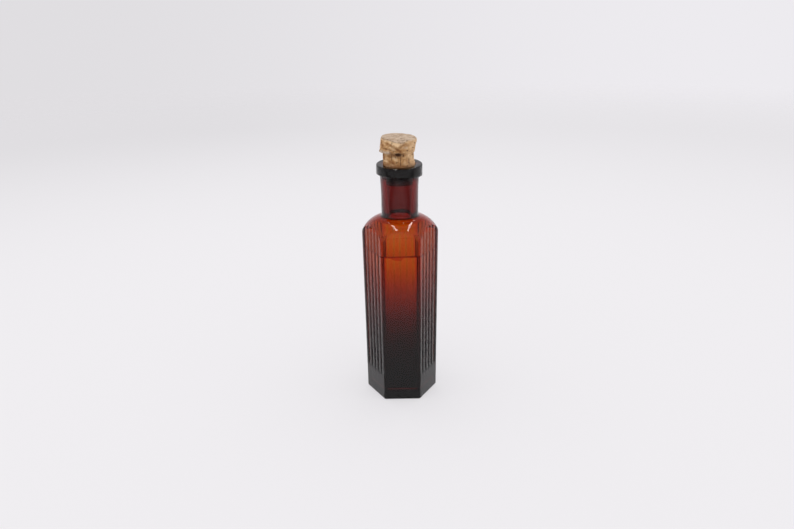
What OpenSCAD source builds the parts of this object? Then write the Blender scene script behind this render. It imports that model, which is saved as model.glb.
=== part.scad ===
// Small six-sided poison bottle in amber glass, with ribbed panels, its liquid and its cork.
// Millimetres, Z up, the foot on Z = 0, the plain front panel facing -Y, upright corners on +X and -X.

/* [Glass body] */
// Distance across two opposite flat panels, at the shoulder
across_flats = 31.8; // [28:0.1:40]
// How far each panel leans in from the shoulder down to the foot
panel_lean = 0.65; // [0:0.05:1.2]
// Radius that rounds the six upright corners
corner_r = 0.9; // [0.4:0.1:2]
// Height where the upright corners end and the domed shoulder starts
shoulder_z = 83.8; // [60:0.1:86]
// Thickness of the glass in the side walls and the shoulder
wall_t = 1.3; // [1.2:0.1:2.8]
// Thickness of the glass in the foot
base_t = 4.4; // [3:0.1:7]
// Height and depth of the rounded lower edge
heel_r = 0.9; // [0.5:0.1:2]
// Radius of the hollow pushed up into the foot
pushup_r = 11; // [6:0.5:12]
// Height of the hollow pushed up into the foot
pushup_h = 1.1; // [0.5:0.1:1.6]
// Radius that rounds the inside where the walls meet the foot
inner_heel_r = 3.4; // [1.5:0.1:5]
// How far the inside corners of the walls are filled in, measured from sharp corners
inner_corner_fill = 0.25; // [0.1:0.05:1.2]

/* [Warning ribs] */
// Number of upright ribs on each of the five ribbed panels
rib_count = 4; // [2:1:4]
// Distance from rib to rib
rib_pitch = 3.15; // [2.2:0.05:3.3]
// Depth of the valleys beside the ribs
rib_depth = 0.6; // [0.3:0.05:0.8]
// Half width of the slope that ends the rib pattern at each side
rib_side_w = 1.0; // [0.6:0.1:1.2]
// Height of the plain band below the ribs
band_h = 13.5; // [8:0.5:25]

/* [Shoulder and neck] */
// Radius of the shoulder's arc
dome_r = 13; // [9:0.5:30]
// Height where the shoulder's arc meets the neck
neck_z = 91.2; // [88:0.1:95]
// Outer radius of the neck
neck_r = 8.75; // [8:0.05:9.2]
// Radius of the hollow curve between shoulder and neck
neck_fillet_r = 1.0; // [0.4:0.1:2]
// Height of the top of the lip
lip_z = 115.65; // [106:0.05:130]
// Outer radius of the collar round the lip
collar_r = 10.8; // [10:0.1:12.5]
// Height of the collar
collar_h = 5.1; // [3:0.1:6]
// Radius that rounds the collar's edges
collar_edge_r = 0.5; // [0.4:0.1:1.4]
// Height of the flare of the neck below the collar
neck_flare_h = 10; // [2:0.5:12]
// How far the neck flares below the collar
neck_flare_w = 0.45; // [0.1:0.05:0.6]
// Radius of the bore where it opens into the shoulder
throat_r = 5.4; // [4.6:0.05:5.6]
// Radius of the bore where the cork sits
bore_r = 6.3; // [5.6:0.05:6.7]
// Radius of the bore's flared mouth at the lip
mouth_r = 7.55; // [7:0.05:8.2]
// Height of the flared mouth
mouth_h = 6.4; // [3:0.1:8]
// Size of the bevel round the mouth's edge
mouth_bevel = 0.5; // [0.2:0.1:1]

/* [Liquid] */
// Height of the liquid's surface above the table
liquid_z = 74.5; // [20:0.5:80]
// Gap between the liquid and the glass, which stands for its wetted skin
liquid_gap = 0.05; // [0.03:0.01:0.2]

/* [Cork] */
// Length of the cork inside the neck, below the lip
cork_in = 9.4; // [7:0.1:12]
// Height of the cork above the lip, at the middle of its top
cork_out = 12.4; // [9:0.1:16]
// How far the straight bore goes on below the cork, before it narrows to the throat
cork_spare = 1; // [0.5:0.1:3]
// Gap between the cork and the glass
cork_gap = 0.06; // [0.04:0.01:0.15]
// Radius of the cork's waist, just above the lip
waist_r = 7.1; // [6.4:0.05:7.3]
// Height of the waist above the lip
waist_h = 3.4; // [2:0.1:4.5]
// Radius of the cork at its top
cork_top_r = 8.25; // [7.6:0.05:9]
// Bevel round the cork's ends
cork_bevel = 0.55; // [0.3:0.05:1]
// How far the worn ledge of the head stands off to the left
ledge_shift = 0.85; // [0.3:0.05:1.2]
// Radius of the worn ledge
ledge_r = 7.95; // [7.6:0.05:8.6]
// Height of the worn ledge above the lip
ledge_h = 5.0; // [4.6:0.1:7]
// Tilt of the cut top towards the front, in degrees
top_tilt = 4; // [0:0.5:6]
// Lean of the cut top towards the right, in degrees
top_lean = 2.5; // [0:0.5:5]
// Width of the chip broken out of the front of the top edge
chip_w = 6.5; // [3:0.5:8]
// Depth of that chip below the top
chip_h = 1.7; // [0.6:0.1:2.5]
// How far that chip reaches in from the edge
chip_in = 1.8; // [0.6:0.1:3]

/* [Hidden] */
$fn = 96;
sides = 6;
// How far a cutter reaches past what it cuts, and how far joined shapes lap over each other
over = 1;
lap = 0.1;
// Distance of a sharp corner, and of the rounded corner, from the axis, at the shoulder
sharp_reach = across_flats / 2 / cos(180 / sides);
corner_reach = sharp_reach - corner_r * (1 / cos(180 / sides) - 1);
// The angle at which the panels lean, and how far it draws in the corners at the foot
lean_angle = atan(panel_lean / shoulder_z);
corner_lean = panel_lean / cos(180 / sides);
// The walls' inside faces, and the reach of its filled corners
inner_flats = across_flats - 2 * wall_t;
inner_reach = inner_flats / 2 / cos(180 / sides) - inner_corner_fill;
// The shoulder's arc runs from the corner's top to the neck: its chord, and its centre
chord_r = corner_reach - neck_r;
chord_z = neck_z - shoulder_z;
chord = sqrt(chord_r * chord_r + chord_z * chord_z);
arc_drop = sqrt(dome_r * dome_r - chord * chord / 4);
dome_x = (corner_reach + neck_r) / 2 - arc_drop * chord_z / chord;
dome_z = (shoulder_z + neck_z) / 2 - arc_drop * chord_r / chord;
// The hollow curve dips a little into the neck and the shoulder, so that it crosses both cleanly
fillet_off = 0.96 * neck_fillet_r;
fillet_x = neck_r + fillet_off;
fillet_z = dome_z + sqrt(pow(dome_r + fillet_off, 2) - pow(fillet_x - dome_x, 2));
collar_z = lip_z - collar_h;
// A rib is an arc whose crest lies just inside the panel and which meets its neighbour in the valley
rib_sink = 0.05;
rib_rise = rib_depth - rib_sink;
rib_arc_r = (rib_rise * rib_rise + rib_pitch * rib_pitch / 4) / (2 * rib_rise);
rib_half = rib_count * rib_pitch / 2;
// The heel's arc is a little wider than its corner, so that it meets both faces at a slight angle
heel_arc = 1.2 * heel_r;
heel_off = heel_r / 2 + sqrt((heel_arc * heel_arc - heel_r * heel_r / 2) / 2);
// The arc of the inside heel stands out a little past the wall, for the same reason
heel_out = 0.1;
// The foot's hollow is part of a large ball
pushup_ball = (pushup_r * pushup_r + pushup_h * pushup_h) / (2 * pushup_h);
cork_top = lip_z + cork_out;
// How far the worn ledge has sunk into the head where it ends
ledge_fade = 0.5;
flare_z = lip_z - mouth_h;
seat_z = lip_z - cork_in - cork_spare;
// The height up to which the panels' planes are drawn
full_z = lip_z + over;

// Distance of a panel's face from the axis at a height
function panel_at(z) = across_flats / 2 - panel_lean * (1 - z / shoulder_z);

// The space between two opposite panels, drawn in by an inset
module panel_slab(inset) {
    foot = panel_at(0) - inset;
    top = panel_at(full_z) - inset;
    rotate([90, 0, 90])
        linear_extrude(3 * across_flats, center = true)
            polygon([[-foot, 0], [foot, 0], [top, full_z], [-top, full_z]]);
}

// The six leaning panels with sharp corners on +X and -X, drawn in by an inset
module leaning_hexagon(inset) {
    intersection() {
        panel_slab(inset);
        rotate(60) panel_slab(inset);
        rotate(120) panel_slab(inset);
    }
}

// The leaning cone that cuts the upright corners back to a reach, measured at the shoulder
module corner_cone(reach) {
    cylinder(r1 = reach - corner_lean, r2 = reach + corner_lean * (full_z / shoulder_z - 1), h = full_z);
}

// The valleys of one panel: x runs along the panel, y points out of it, and its face is y = 0
module rib_valleys() {
    slope = rib_side_w / rib_depth;
    difference() {
        polygon([
            [-rib_half + slope * over, -rib_depth - over],
            [rib_half - slope * over, -rib_depth - over],
            [rib_half + slope * (rib_depth + over), over],
            [-rib_half - slope * (rib_depth + over), over]
        ]);
        for (i = [0:rib_count - 1])
            translate([(i + 0.5) * rib_pitch - rib_half, -rib_sink - rib_arc_r])
                circle(r = rib_arc_r);
    }
}

// The valleys as a cutter that runs out in a slope above the plain band
module rib_cutter() {
    intersection() {
        linear_extrude(neck_z - band_h) rib_valleys();
        rotate([-45, 0, 0])
            translate([-across_flats / 2, -2 * neck_z, 0])
                cube([across_flats, 4 * neck_z, 2 * neck_z]);
    }
}

// The lower edge of two opposite panels, rounded, as a slab that spans them
module heel_slab() {
    half = panel_at(heel_r);
    rotate([90, 0, 90])
        linear_extrude(3 * across_flats, center = true)
            union() {
                translate([-across_flats, heel_r])
                    square([2 * across_flats, full_z]);
                polygon([
                    [heel_r - half, 0],
                    [half - heel_r, 0],
                    [half, heel_r + lap],
                    [-half, heel_r + lap]
                ]);
                intersection() {
                    translate([-half, 0])
                        square([2 * half, heel_r + lap]);
                    union() {
                        translate([half - heel_off, heel_off]) circle(r = heel_arc);
                        translate([heel_off - half, heel_off]) circle(r = heel_arc);
                    }
                }
            }
}

// Half of the upright section of the shoulder, neck and collar: x is the radius
module outer_section() {
    difference() {
        union() {
            polygon([
                [0, 0],
                [corner_reach - corner_lean - heel_r, 0],
                [corner_reach + over, corner_lean + heel_r + over],
                [corner_reach + over, shoulder_z],
                [0, shoulder_z]
            ]);
            intersection() {
                translate([dome_x, dome_z]) circle(r = dome_r);
                translate([0, shoulder_z - over])
                    square([corner_reach + over, chord_z + over]);
            }
            square([neck_r, collar_z + over]);
            neck_fillet();
            polygon([
                [neck_r - over, collar_z - neck_flare_h],
                [neck_r, collar_z - neck_flare_h],
                [neck_r + neck_flare_w, collar_z + lap],
                [neck_r - over, collar_z + lap]
            ]);
            collar_section();
        }
        translate([-2 * dome_r, -over])
            square([2 * dome_r, full_z + over]);
    }
}

// The hollow curve where the shoulder turns up into the neck
module neck_fillet() {
    touch = dome_r / (dome_r + fillet_off);
    difference() {
        polygon([
            [neck_r - over, neck_z - over],
            [dome_x + touch * (fillet_x - dome_x), dome_z + touch * (fillet_z - dome_z)],
            [fillet_x, fillet_z],
            [neck_r - over, fillet_z]
        ]);
        translate([fillet_x, fillet_z]) circle(r = neck_fillet_r);
    }
}

// The collar with its rounded edges
module collar_section() {
    translate([0, collar_z])
        square([collar_r - collar_edge_r, collar_h]);
    translate([0, collar_z + collar_edge_r])
        square([collar_r, collar_h - 2 * collar_edge_r]);
    for (z = [collar_z + collar_edge_r, lip_z - collar_edge_r])
        translate([collar_r - collar_edge_r, z])
            circle(r = collar_edge_r);
}

// Half of the section of the space inside the glass, drawn in by a gap
module inner_section(gap) {
    floor_z = base_t + gap;
    heel_z = floor_z + inner_heel_r;
    reach = inner_reach - gap;
    heel_x = reach - corner_lean * (1 - heel_z / shoulder_z) - inner_heel_r + heel_out;
    difference() {
        union() {
            translate([0, floor_z])
                square([reach + over, shoulder_z - over - floor_z]);
            intersection() {
                translate([dome_x, dome_z]) circle(r = dome_r - wall_t - gap);
                translate([0, shoulder_z - 2 * over])
                    square([reach + over, chord_z + 2 * over]);
            }
        }
        difference() {
            translate([heel_x, floor_z - over])
                square([inner_heel_r + 2 * over, inner_heel_r + over]);
            translate([heel_x, heel_z])
                circle(r = inner_heel_r);
        }
    }
}

// The space inside the glass up to the shoulder, drawn in by a gap
module inner_space(gap) {
    intersection() {
        rotate_extrude() inner_section(gap);
        leaning_hexagon(wall_t + gap);
        corner_cone(inner_reach - gap);
    }
}

// The round passage through the neck: its narrow throat, the cork's seat, and its flared, bevelled mouth
module neck_passage() {
    bevel_r = mouth_r - mouth_bevel * (mouth_r - bore_r) / mouth_h;
    rotate_extrude()
        polygon([
            [0, shoulder_z],
            [throat_r, shoulder_z],
            [throat_r, neck_z],
            [bore_r, seat_z],
            [bore_r, flare_z],
            [bevel_r, lip_z - mouth_bevel],
            [bevel_r + 2 * mouth_bevel, lip_z + mouth_bevel],
            [0, lip_z + mouth_bevel]
        ]);
}

module glass_bottle() {
    color([0.62, 0.24, 0.06, 0.75])
        difference() {
            intersection() {
                rotate_extrude() outer_section();
                leaning_hexagon(0);
                corner_cone(corner_reach);
                rounded_foot();
            }
            for (a = [-120:60:120])
                rotate(a) translate([0, panel_at(band_h), band_h]) rotate([-lean_angle, 0, 0]) rib_cutter();
            inner_space(0);
            neck_passage();
            translate([0, 0, pushup_h - pushup_ball]) sphere(r = pushup_ball);
        }
}

// The three slabs that together round the foot of all six panels
module rounded_foot() {
    intersection() {
        heel_slab();
        rotate(60) heel_slab();
        rotate(120) heel_slab();
    }
}

// Half of the section of the cork: straight in the bore, flared with the mouth, waisted above the lip
module cork_section() {
    shank_r = bore_r - cork_gap;
    seat_r = mouth_r - cork_gap;
    polygon([
        [0, lip_z - cork_in],
        [shank_r - cork_bevel, lip_z - cork_in],
        [shank_r, lip_z - cork_in + cork_bevel],
        [shank_r, flare_z],
        [seat_r, lip_z],
        [waist_r, lip_z + waist_h / 2],
        [waist_r, lip_z + waist_h],
        [cork_top_r, cork_top - cork_bevel],
        [cork_top_r - cork_bevel, cork_top],
        [cork_top_r - cork_bevel, cork_top + over],
        [0, cork_top + over]
    ]);
}

// The worn ledge that stands out on the left of the cork's head
module cork_ledge() {
    rise = cork_top - 2 * over - lip_z - ledge_h;
    translate([-ledge_shift, 0, lip_z + ledge_h])
        cylinder(r1 = ledge_r, r2 = cork_top_r - ledge_shift - ledge_fade, h = rise);
}

// A three-sided wedge that breaks a chip out of the front of the cork's top edge
module chip_cutter() {
    front_drop = cork_top_r * sin(top_tilt);
    translate([0, -cork_top_r - over, cork_top])
        rotate([-90, 0, 0])
            linear_extrude(chip_in + over)
                polygon([
                    [-chip_w / 2, -2 * over],
                    [chip_w / 2, -2 * over],
                    [chip_w / 2, front_drop],
                    [0, front_drop + chip_h],
                    [-chip_w / 2, front_drop]
                ]);
}

module cork_stopper() {
    color([0.72, 0.55, 0.36])
        difference() {
            union() {
                rotate_extrude() cork_section();
                cork_ledge();
            }
            translate([0, 0, cork_top])
                rotate([top_tilt, top_lean, 0])
                    translate([-2 * cork_top_r, -2 * cork_top_r, 0])
                        cube([4 * cork_top_r, 4 * cork_top_r, 4 * over]);
            chip_cutter();
        }
}

module liquid_contents() {
    color([0.50, 0.17, 0.05, 0.7])
        intersection() {
            inner_space(liquid_gap);
            cylinder(r = across_flats, h = liquid_z);
        }
}

glass_bottle();
cork_stopper();
liquid_contents();
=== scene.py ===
"""Dresses the amber poison bottle: its ribbed glass, what is left of its liquid, and its worn cork.

Lengths in the classes are millimetres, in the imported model's own frame: Z up, the foot on Z = 0 and
the plain front panel facing -Y. They become metres where a mesh is made.
"""

import logging
import math
from dataclasses import dataclass, field
from enum import Enum
from typing import Callable, Sequence

import bmesh
import bpy
from mathutils import Matrix, Vector, noise


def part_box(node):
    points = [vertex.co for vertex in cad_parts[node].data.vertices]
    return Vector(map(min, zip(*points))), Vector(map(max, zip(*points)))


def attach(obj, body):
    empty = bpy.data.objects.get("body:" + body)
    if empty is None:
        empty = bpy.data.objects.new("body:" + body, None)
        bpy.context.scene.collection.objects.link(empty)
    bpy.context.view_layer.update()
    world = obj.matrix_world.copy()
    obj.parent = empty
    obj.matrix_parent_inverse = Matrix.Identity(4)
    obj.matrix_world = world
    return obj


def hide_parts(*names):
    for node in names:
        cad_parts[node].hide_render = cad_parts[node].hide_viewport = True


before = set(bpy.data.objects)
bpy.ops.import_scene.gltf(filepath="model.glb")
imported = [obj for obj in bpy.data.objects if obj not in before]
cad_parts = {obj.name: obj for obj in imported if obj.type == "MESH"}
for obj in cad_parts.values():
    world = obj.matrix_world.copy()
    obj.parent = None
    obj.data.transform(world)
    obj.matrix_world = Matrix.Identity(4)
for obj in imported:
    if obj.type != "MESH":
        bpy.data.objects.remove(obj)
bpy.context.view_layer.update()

LOG = logging.getLogger("poison_bottle")
MM = 0.001
SIDES = 6
FRONT = 4
BACK = 1
Place = tuple[float, float, float]
Colour = tuple[float, float, float]
Span = tuple[float, float]
Value = float | Colour | bpy.types.NodeSocket


class Body(Enum):
    """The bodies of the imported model."""

    BOTTLE = "bottle"
    STOPPER = "stopper"


class Node(Enum):
    """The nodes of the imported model."""

    GLASS = "glass_bottle"
    CORK = "cork_stopper"
    LIQUID = "liquid_contents"


class Slot(Enum):
    """The record's material slots."""

    GLASS = "amber_glass"
    CORK = "cork"
    LIQUID = "liquid"


class Mark(Enum):
    """Vertex attributes that the materials read."""

    WET = "wet"
    # Stain on the glass; above 1 it is the dark coat in the bore, partly cork residue, partly painted
    # shade.
    STAIN = "stain"
    FILM = "film"
    DROP = "drop"
    OPEN = "open"
    BREAK = "break"
    # Painted shade in the cork's hollows and below its chip, partly brown stain.
    HOLLOW = "hollow"
    AGED = "aged"


def node_limits(node: Node) -> tuple[Vector, Vector]:
    """Gives a node's box in millimetres.

    Args:
        node: The node to measure.

    Returns:
        Its lowest and its highest corner.
    """
    low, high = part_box(node.value)
    return low / MM, high / MM


def smooth_step(value: float, low: float, high: float) -> float:
    """Rises smoothly from 0 at low to 1 at high.

    Args:
        value: Where the step is read.
        low: Where it starts.
        high: Where it ends.

    Returns:
        A number from 0 to 1.
    """
    share = min(max((value - low) / (high - low), 0.0), 1.0)
    return share * share * (3.0 - 2.0 * share)


def soft_min(first: float, second: float, blend: float) -> float:
    """Takes the smaller of two numbers, rounded over where they cross.

    Args:
        first: One number.
        second: The other.
        blend: How far apart the numbers are where the rounding starts.

    Returns:
        The smaller number, or a little less near the crossing.
    """
    near = max(blend - abs(first - second), 0.0) / blend
    return min(first, second) - near * near * blend / 4.0


def along_line(points: Sequence[tuple[float, float]], where: float) -> float:
    """Reads a broken line, which is level beyond its ends.

    Args:
        points: The line's points, each a place and the value there.
        where: The place to read.

    Returns:
        The value at that place.
    """
    if where <= points[0][0]:
        return points[0][1]
    for (low, first), (high, second) in zip(points, points[1:]):
        if where <= high:
            return first + (second - first) * (where - low) / (high - low)
    return points[-1][1]


def dent(distance: float) -> float:
    """Gives a smooth dent, 1 in its middle and 0 from distance 1 on."""
    return max(1.0 - distance * distance, 0.0) ** 2


def arc_points(centre: tuple[float, float], radius: float, start: float, end: float,
               steps: int) -> list[tuple[float, float]]:
    """Lists points on an arc of a section, given as radius and height.

    Args:
        centre: The arc's centre.
        radius: Its radius.
        start: The angle of the first point, in degrees.
        end: The angle of the last point, in degrees.
        steps: How many steps lead from the first point to the last.

    Returns:
        The points, both ends included.
    """
    turns = (math.radians(start + (end - start) * i / steps) for i in range(steps + 1))
    return [(centre[0] + radius * math.cos(t), centre[1] + radius * math.sin(t)) for t in turns]


def spaced(start: float, end: float, steps: int) -> list[float]:
    """Lists evenly spaced numbers.

    Args:
        start: The first number.
        end: The number after the last step, which is left out.
        steps: How many steps there are.

    Returns:
        The numbers from start up to, but not including, end.
    """
    return [start + (end - start) * i / steps for i in range(steps)]


class Loft:
    """A closed skin drawn ring by ring from one pole to another."""

    def __init__(self, name: str, columns: int) -> None:
        """Starts an empty loft.

        Args:
            name: The name of the piece.
            columns: How many points each ring has.
        """
        self.name = name
        self.columns = columns
        self.mesh = bmesh.new()
        self.column = self.mesh.verts.layers.int.new("column")
        self.marks: dict[Mark, bmesh.types.BMLayerItem] = {}
        self.edges: list[bmesh.types.BMEdge] = []
        self.ring: list[bmesh.types.BMVert] = []

    def mark(self, mark: Mark) -> None:
        """Adds a vertex attribute, which add_ring then fills."""
        self.marks[mark] = self.mesh.verts.layers.float.new(mark.value)

    def add_ring(self, place: Callable[[int], Place], **marks: Callable[[int], float]) -> None:
        """Adds the next ring.

        Args:
            place: Gives the point of each column, in millimetres.
            marks: For each attribute, by its name in Mark, what gives its value for a column.
        """
        if not self.ring:
            made = bmesh.ops.create_circle(self.mesh, cap_ends=False, radius=1.0, segments=self.columns)
            self.ring = made["verts"]
            for index, vert in enumerate(self.ring):
                vert[self.column] = index
            self.edges = list(self.mesh.edges)
        else:
            made = bmesh.ops.extrude_edge_only(self.mesh, edges=self.edges)["geom"]
            self.ring = [g for g in made if isinstance(g, bmesh.types.BMVert)]
            self.edges = [g for g in made if isinstance(g, bmesh.types.BMEdge) and self.is_ring_edge(g)]
        for vert in self.ring:
            column = vert[self.column]
            vert.co = Vector(place(column)) * MM
            for name, value in marks.items():
                vert[self.marks[Mark[name]]] = value(column)

    def is_ring_edge(self, edge: bmesh.types.BMEdge) -> bool:
        """Says whether a new edge runs along the new ring."""
        return edge.verts[0][self.column] != edge.verts[1][self.column]

    def close(self) -> None:
        """Draws the last ring together into a pole."""
        centre = sum((v.co for v in self.ring), Vector()) / len(self.ring)
        bmesh.ops.pointmerge(self.mesh, verts=self.ring, merge_co=centre)
        self.ring = []

    def close_start(self) -> None:
        """Draws the first ring, which is the only open one left, together into a pole."""
        rim = {v for e in self.mesh.edges if e.is_boundary for v in e.verts}
        centre = sum((v.co for v in rim), Vector()) / len(rim)
        bmesh.ops.pointmerge(self.mesh, verts=list(rim), merge_co=centre)

    def finish(self) -> bpy.types.Object:
        """Turns the skin outwards and makes it a piece.

        Returns:
            The piece, shaded smooth and linked to the scene.
        """
        if self.mesh.calc_volume(signed=True) < 0.0:
            bmesh.ops.reverse_faces(self.mesh, faces=self.mesh.faces)
        for face in self.mesh.faces:
            face.smooth = True
        self.mesh.verts.layers.int.remove(self.column)
        data = bpy.data.meshes.new(self.name)
        self.mesh.to_mesh(data)
        self.mesh.free()
        piece = bpy.data.objects.new(self.name, data)
        bpy.context.scene.collection.objects.link(piece)
        return piece


class Graph:
    """A node tree with short calls for the nodes that the finishes use."""

    def __init__(self, tree: bpy.types.NodeTree) -> None:
        """Empties the tree and keeps it."""
        self.tree = tree
        tree.nodes.clear()

    def node(self, kind: str, settings: dict[str, str | bool] | None = None,
             **inputs: Value) -> bpy.types.Node:
        """Adds a node.

        Args:
            kind: The node's type name without its ShaderNode prefix.
            settings: The node's own settings.
            inputs: Values or outputs for its inputs, with underscores for spaces in their names.

        Returns:
            The node.
        """
        made = self.tree.nodes.new("ShaderNode" + kind)
        for name, value in (settings or {}).items():
            setattr(made, name, value)
        for name, value in inputs.items():
            self.put(made.inputs[name.replace("_", " ")], value)
        return made

    def put(self, socket: bpy.types.NodeSocket, value: Value) -> None:
        """Links an output to a socket, or writes a plain value there.

        Args:
            socket: The input to fill.
            value: Another node's output, a number or a colour.
        """
        if isinstance(value, bpy.types.NodeSocket):
            self.tree.links.new(value, socket)
        elif isinstance(value, tuple) and len(value) == 3 and socket.type == "RGBA":
            socket.default_value = (*value, 1.0)
        else:
            socket.default_value = value

    def math(self, operation: str, first: Value, second: Value = 0.0, third: Value = 0.0,
             clamp: bool = False) -> bpy.types.NodeSocket:
        """Adds a Math node.

        Args:
            operation: Blender's name of the operation.
            first: The first value.
            second: The second value, where the operation has one.
            third: The third value, where the operation has one.
            clamp: Whether the result is kept between 0 and 1.

        Returns:
            The result.
        """
        made = self.node("Math", {"operation": operation, "use_clamp": clamp})
        for socket, value in zip(made.inputs, (first, second, third)):
            self.put(socket, value)
        return made.outputs[0]

    def place(self, scale: Place = (1.0, 1.0, 1.0)) -> bpy.types.NodeSocket:
        """Gives Object coordinates in millimetres, times a scale."""
        read = self.node("TexCoord").outputs["Object"]
        return self.node("Mapping", None, Vector=read, Scale=tuple(s / MM for s in scale)).outputs[0]

    def axis(self, where: Value, name: str) -> bpy.types.NodeSocket:
        """Gives one coordinate of a place, by its letter."""
        return self.node("SeparateXYZ", None, Vector=where).outputs[name]

    def band(self, value: Value, low: float, high: float, start: float = 0.0,
             end: float = 1.0) -> bpy.types.NodeSocket:
        """Changes smoothly from one number to another.

        Args:
            value: What the change follows.
            low: The value where it starts.
            high: The value where it ends.
            start: The result up to low.
            end: The result from high on.

        Returns:
            The result.
        """
        made = self.node("MapRange", {"interpolation_type": "SMOOTHSTEP"}, Value=value)
        for name, number in zip(("From Min", "From Max", "To Min", "To Max"), (low, high, start, end)):
            self.put(made.inputs[name], number)
        return made.outputs[0]

    def noise(self, where: Value, scale: float, detail: float, roughness: float) -> bpy.types.NodeSocket:
        """Gives a noise from 0 to 1."""
        made = self.node("TexNoise", None, Vector=where, Scale=scale, Detail=detail, Roughness=roughness)
        return made.outputs[0]

    def cells(self, where: Value, scale: float) -> bpy.types.NodeSocket:
        """Gives the distance to the nearest of the points scattered in space."""
        made = self.node("TexVoronoi", None, Vector=where, Scale=scale, Randomness=1.0)
        return made.outputs["Distance"]

    def mix(self, factor: Value, first: Value, second: Value, blend: str = "MIX") -> bpy.types.NodeSocket:
        """Mixes two colours.

        Args:
            factor: The share of the second one.
            first: The first colour.
            second: The second colour.
            blend: Blender's name of the way to mix them.

        Returns:
            The mixed colour.
        """
        made = self.node("Mix", {"data_type": "RGBA", "blend_type": blend})
        for index, value in ((0, factor), (6, first), (7, second)):
            self.put(made.inputs[index], value)
        return made.outputs[2]

    def blend(self, factor: Value, first: bpy.types.Node, second: bpy.types.Node) -> bpy.types.Node:
        """Mixes two shaders.

        Args:
            factor: The share of the second one.
            first: The first shader.
            second: The second shader.

        Returns:
            The mixing node.
        """
        made = self.node("MixShader", None, Fac=factor)
        self.put(made.inputs[1], first.outputs[0])
        self.put(made.inputs[2], second.outputs[0])
        return made

    def ramp(self, factor: Value, stops: Sequence[tuple[float, Colour]]) -> bpy.types.NodeSocket:
        """Runs through a row of colours.

        Args:
            factor: Where the row is read.
            stops: The colours and their places in the row.

        Returns:
            The colour at the factor.
        """
        made = self.node("ValToRGB", None, Fac=factor)
        points = made.color_ramp.elements
        while len(points) < len(stops):
            points.new(1.0)
        for point, (spot, colour) in zip(points, stops):
            point.position = spot
            point.color = (*colour, 1.0)
        return made.outputs[0]

    def attribute(self, mark: Mark) -> bpy.types.NodeSocket:
        """Gives the value of a vertex attribute."""
        return self.node("Attribute", {"attribute_name": mark.value}).outputs["Fac"]


def rgb(red: float, green: float, blue: float) -> Colour:
    """Turns a colour as a screen shows it into a linear one.

    Args:
        red: Its red, from 0 to 255.
        green: Its green.
        blue: Its blue.

    Returns:
        The linear colour, from 0 to 1.
    """
    shares = (channel / 255.0 for channel in (red, green, blue))
    return tuple(s / 12.92 if s <= 0.04045 else ((s + 0.055) / 1.055) ** 2.4 for s in shares)


@dataclass(frozen=True)
class AmberGlass:
    """Thick old amber glass, wet inside up to the liquid and stained inside the neck, with a dark coat in
    the bore that is partly cork residue, partly painted shade.
    """

    tint: Colour = (0.896, 0.56, 0.02)
    density: float = 2500.0
    ior: float = 1.5
    wet_ior: float = 1.5 / 1.33
    stain: Colour = (0.44, 0.42, 0.4)
    residue_and_shade: Colour = (0.012, 0.01, 0.01)
    film: Colour = (0.42, 0.75, 0.6)
    skin: Colour = (0.94, 1.0, 1.0)
    drop: Colour = (0.68, 0.16, 0.05)
    tide: Colour = (0.3, 0.03, 0.02)
    tide_rise: Span = (-0.15, 0.05)
    tide_fall: Span = (0.4, 1.0)
    tide_front: Span = (-11.5, -10.0)
    tide_far: float = 0.25
    drop_edge: Span = (-0.1, 0.15)
    drop_share: float = 0.9
    gloss: Colour = (0.62, 0.62, 0.62)

    def material(self) -> bpy.types.Material:
        """Builds the material.

        Returns:
            The material, with the glass's colour in its volume.
        """
        made = bpy.data.materials.new("amber_glass")
        made.use_nodes = True
        graph = Graph(made.node_tree)
        depth = graph.attribute(Mark.WET)
        wet = graph.math("GREATER_THAN", depth, 0.0)
        index = graph.math("MULTIPLY_ADD", wet, self.wet_ior - self.ior, self.ior)
        stain = graph.attribute(Mark.STAIN)
        colour = graph.mix(stain, self.skin, self.stain)
        colour = graph.mix(graph.attribute(Mark.FILM), colour, self.film)
        below = graph.math("SUBTRACT", graph.attribute(Mark.DROP), depth)
        drop = graph.math("MULTIPLY", graph.band(depth, 0.0, 0.2), graph.band(below, *self.drop_edge))
        colour = graph.mix(graph.math("MULTIPLY", drop, self.drop_share), colour, self.drop)
        tide = graph.math("MULTIPLY", graph.band(depth, *self.tide_rise),
                          graph.band(depth, *self.tide_fall, 1.0, 0.0))
        front = graph.band(graph.axis(graph.place(), "Y"), *self.tide_front, 1.0, self.tide_far)
        colour = graph.mix(graph.math("MULTIPLY", tide, front), colour, self.tide)
        shader = graph.node("BsdfPrincipled", None, Base_Color=colour, Roughness=0.0, IOR=index)
        shader.inputs["Specular Tint"].default_value = (*self.gloss, 1.0)
        shader.inputs["Transmission Weight"].default_value = 1.0
        # Painted shade, partly cork residue: where the stain mark passes 1, a dark matte coat in the bore
        # darkens the thick collar and stops the light inside its glass.
        dirt = graph.node("BsdfDiffuse", None, Color=self.residue_and_shade)
        surface = graph.blend(graph.math("SUBTRACT", stain, 1.0, clamp=True), shader, dirt)
        volume = graph.node("VolumeAbsorption", None, Color=self.tint, Density=self.density)
        graph.node("OutputMaterial", None, Surface=surface.outputs[0], Volume=volume.outputs[0])
        return made


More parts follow.
